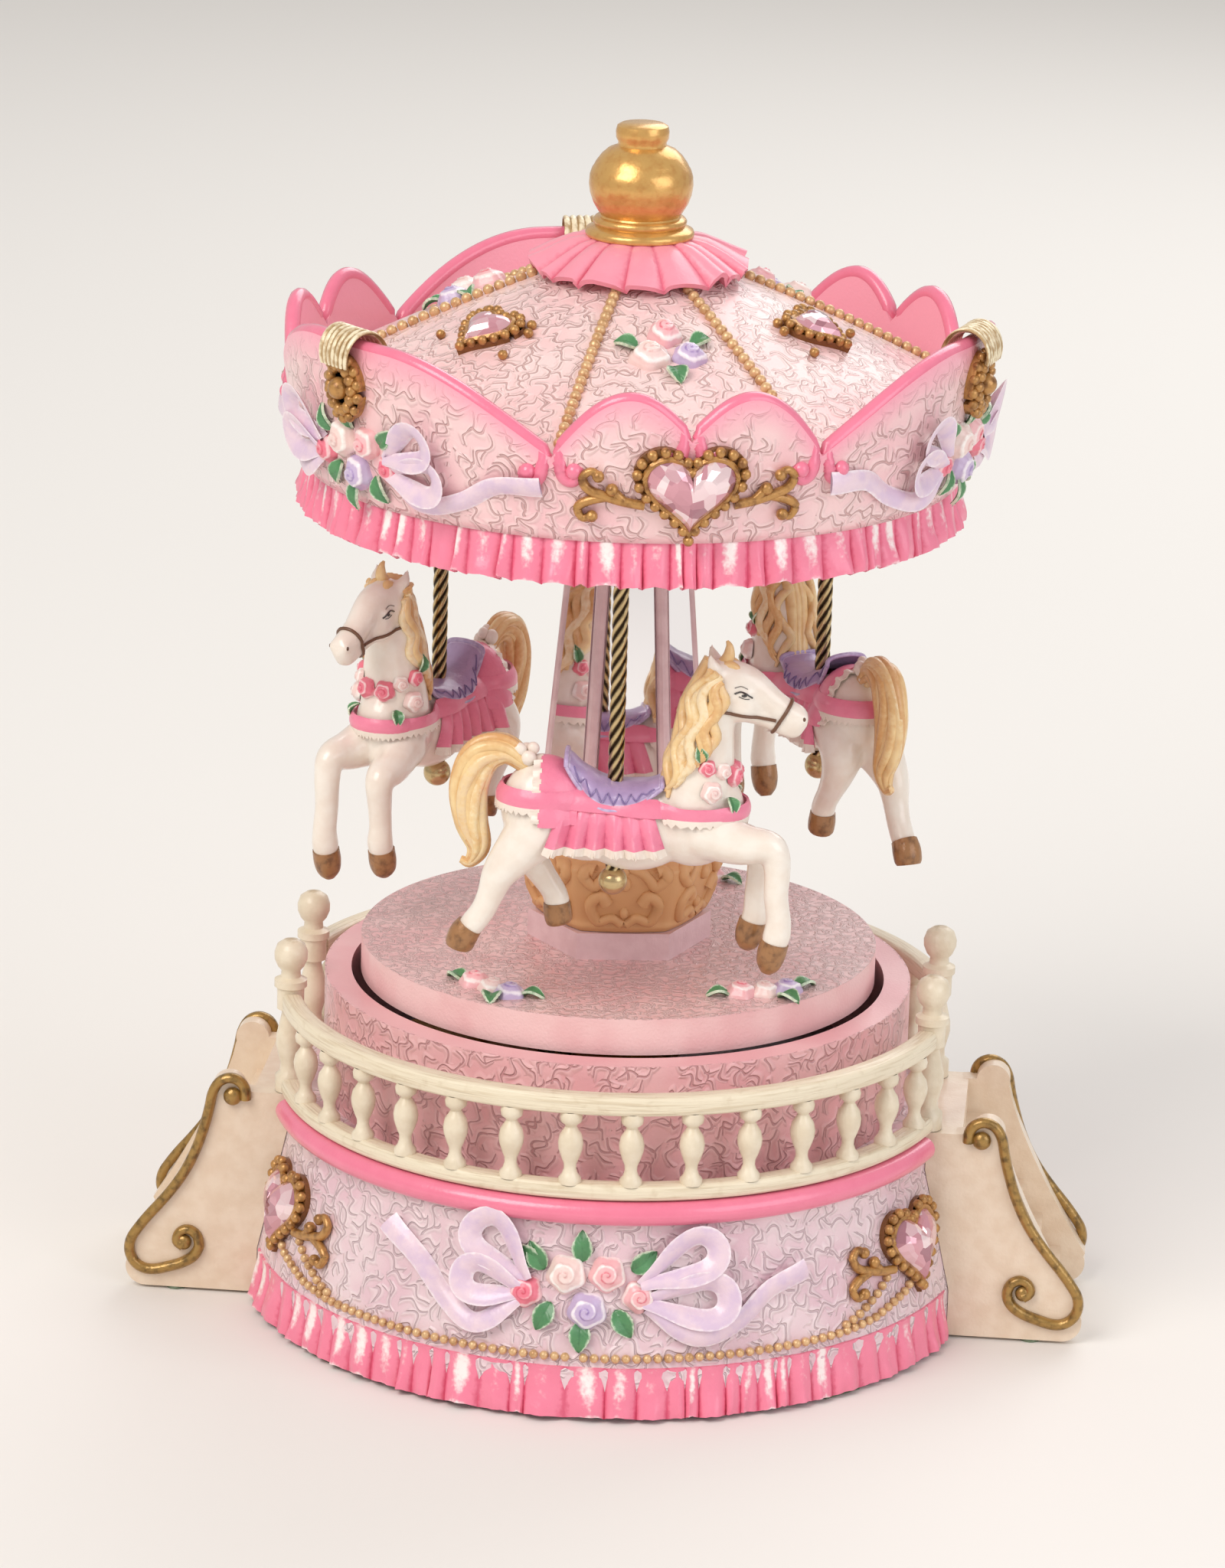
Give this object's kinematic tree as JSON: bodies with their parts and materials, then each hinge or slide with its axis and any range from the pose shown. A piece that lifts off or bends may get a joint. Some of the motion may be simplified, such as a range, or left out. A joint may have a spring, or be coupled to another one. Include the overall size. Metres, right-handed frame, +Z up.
{
  "type": "carousel music box",
  "caption": "Carousel music box: a spring movement turns a mirror column, a jewelled canopy and horses that rise and fall on twisted poles, above a round base with stairs at both sides.",
  "frame": {"origin": "centre of the underside, on the surface that the felt pads rest on", "axes": "+Z up along the carousel's axis, the two flights of stairs on +X and -X, the front on -Y"},
  "size_m": [0.1528, 0.1182, 0.1894],
  "materials": {
    "crackle_pink": "cold-cast resin, crackled relief, pearl wash",
    "gloss_pink": "cold-cast resin, painted, satin",
    "cream_resin": "cold-cast resin, painted cream, light antique wash",
    "stair_resin": "cold-cast resin, painted cream, brown wash",
    "gold_paint": "antique gold paint, satin",
    "copper_gold": "cold-cast resin, copper-gold paint, gloss",
    "bloom_resin": "cast roses, bows and leaves, hand painted",
    "jewel": "faceted acrylic, foil backed",
    "mirror_film": "mirror acrylic",
    "horse_resin": "cold-cast resin, painted off-white, blond mane",
    "saddle_resin": "cold-cast resin, painted pink and lilac",
    "pole_brass": "twisted rod, antique brass plate",
    "brass": "turned, plain",
    "steel": "bright",
    "zinc": "die-cast zinc, as cast",
    "board": "fibreboard, sealed",
    "felt": "felt",
    "cam_plastic": "moulded nylon"
  },
  "bodies": {
    "base": {"base_shell": "crackle_pink", "well_ring": "crackle_pink", "pink_rail": "gloss_pink", "base_ruffle": "gloss_pink", "base_beads": "gold_paint", "front_balustrade": "cream_resin", "rear_balustrade": "cream_resin", "newel_posts": "cream_resin", "stairs_left": "stair_resin", "stairs_right": "stair_resin", "stair_scrolls": "gold_paint", "base_gem_settings": "gold_paint", "base_gems": "jewel", "base_bouquets": "bloom_resin", "bottom_cover": "board", "case_screws": "steel", "felt_pads": "felt", "carrier_plate": "steel", "centre_post": "steel", "lift_cam": "cam_plastic", "movement_bedplate": "zinc", "movement_screws": "steel", "comb": "steel", "governor_frame": "zinc"},
    "carousel": {"turntable_hub": "brass", "platform_disc": "crackle_pink", "platform_roses": "bloom_resin", "column_plinth": "crackle_pink", "column_bowl": "copper_gold", "column_frame": "crackle_pink", "mirror_panels": "mirror_film", "canopy_floor": "crackle_pink", "pole_bushes": "brass", "crown_wall": "crackle_pink", "shell_ornaments": "gold_paint", "canopy_ruffle": "gloss_pink", "canopy_gem_settings": "gold_paint", "canopy_gems": "jewel", "canopy_bouquets": "bloom_resin", "roof_shell": "crackle_pink", "roof_beads": "gold_paint", "cap_ruffle": "gloss_pink", "finial": "gold_paint"},
    "front_horse_unit": {"front_horse": "horse_resin", "front_saddle": "saddle_resin", "front_pole": "pole_brass"},
    "right_horse_unit": {"right_horse": "horse_resin", "right_saddle": "saddle_resin", "right_pole": "pole_brass"},
    "left_horse_unit": {"left_horse": "horse_resin", "left_saddle": "saddle_resin", "left_pole": "pole_brass"},
    "spring_barrel_unit": {"spring_barrel": "brass", "mainspring": "steel", "drive_gear": "brass"},
    "cylinder_unit": {"music_cylinder": "brass"},
    "governor_wheel_unit": {"governor_wheel": "brass"},
    "fan_unit": {"governor_fan": "steel"},
    "key_unit": {"winding_key": "brass"}
  },
  "joints": [
    {"name": "carousel_spin", "type": "hinge", "parent": "base", "child": "carousel", "pos_m": [0, 0, 0.05], "axis": [0, 0, 1], "continuous": true},
    {"name": "front_horse_bob", "type": "slide", "parent": "carousel", "child": "front_horse_unit", "axis": [0, 0, 1], "range_m": [-0.00125, 0.00375]},
    {"name": "right_horse_bob", "type": "slide", "parent": "carousel", "child": "right_horse_unit", "axis": [0, 0, 1], "range_m": [-0.005, 0]},
    {"name": "left_horse_bob", "type": "slide", "parent": "carousel", "child": "left_horse_unit", "axis": [0, 0, 1], "range_m": [-0.00125, 0.00375]},
    {"name": "barrel_spin", "type": "hinge", "parent": "base", "child": "spring_barrel_unit", "pos_m": [-0.0217, 0, 0.02], "axis": [0, 0, 1], "continuous": true},
    {"name": "cylinder_spin", "type": "hinge", "parent": "base", "child": "cylinder_unit", "pos_m": [0, 0, 0.02636], "axis": [1, 0, 0], "continuous": true},
    {"name": "governor_wheel_spin", "type": "hinge", "parent": "base", "child": "governor_wheel_unit", "pos_m": [0.0189, 0.0097, 0.02636], "axis": [1, 0, 0], "continuous": true},
    {"name": "governor_fan_spin", "type": "hinge", "parent": "base", "child": "fan_unit", "pos_m": [0.0189, 0.01395, 0.02636], "axis": [0, 0, 1], "continuous": true},
    {"name": "key_wind", "type": "hinge", "parent": "base", "child": "key_unit", "pos_m": [-0.0217, 0, 0.006], "axis": [0, 0, -1], "range_deg": [0, 1800]}
  ],
  "couplings": [
    {"joint": "barrel_spin", "follows": "carousel_spin", "ratio": -0.8},
    {"joint": "cylinder_spin", "follows": "carousel_spin", "ratio": -3.2},
    {"joint": "governor_wheel_spin", "follows": "carousel_spin", "ratio": 8.96},
    {"joint": "governor_fan_spin", "follows": "carousel_spin", "ratio": -107.52}
  ]
}
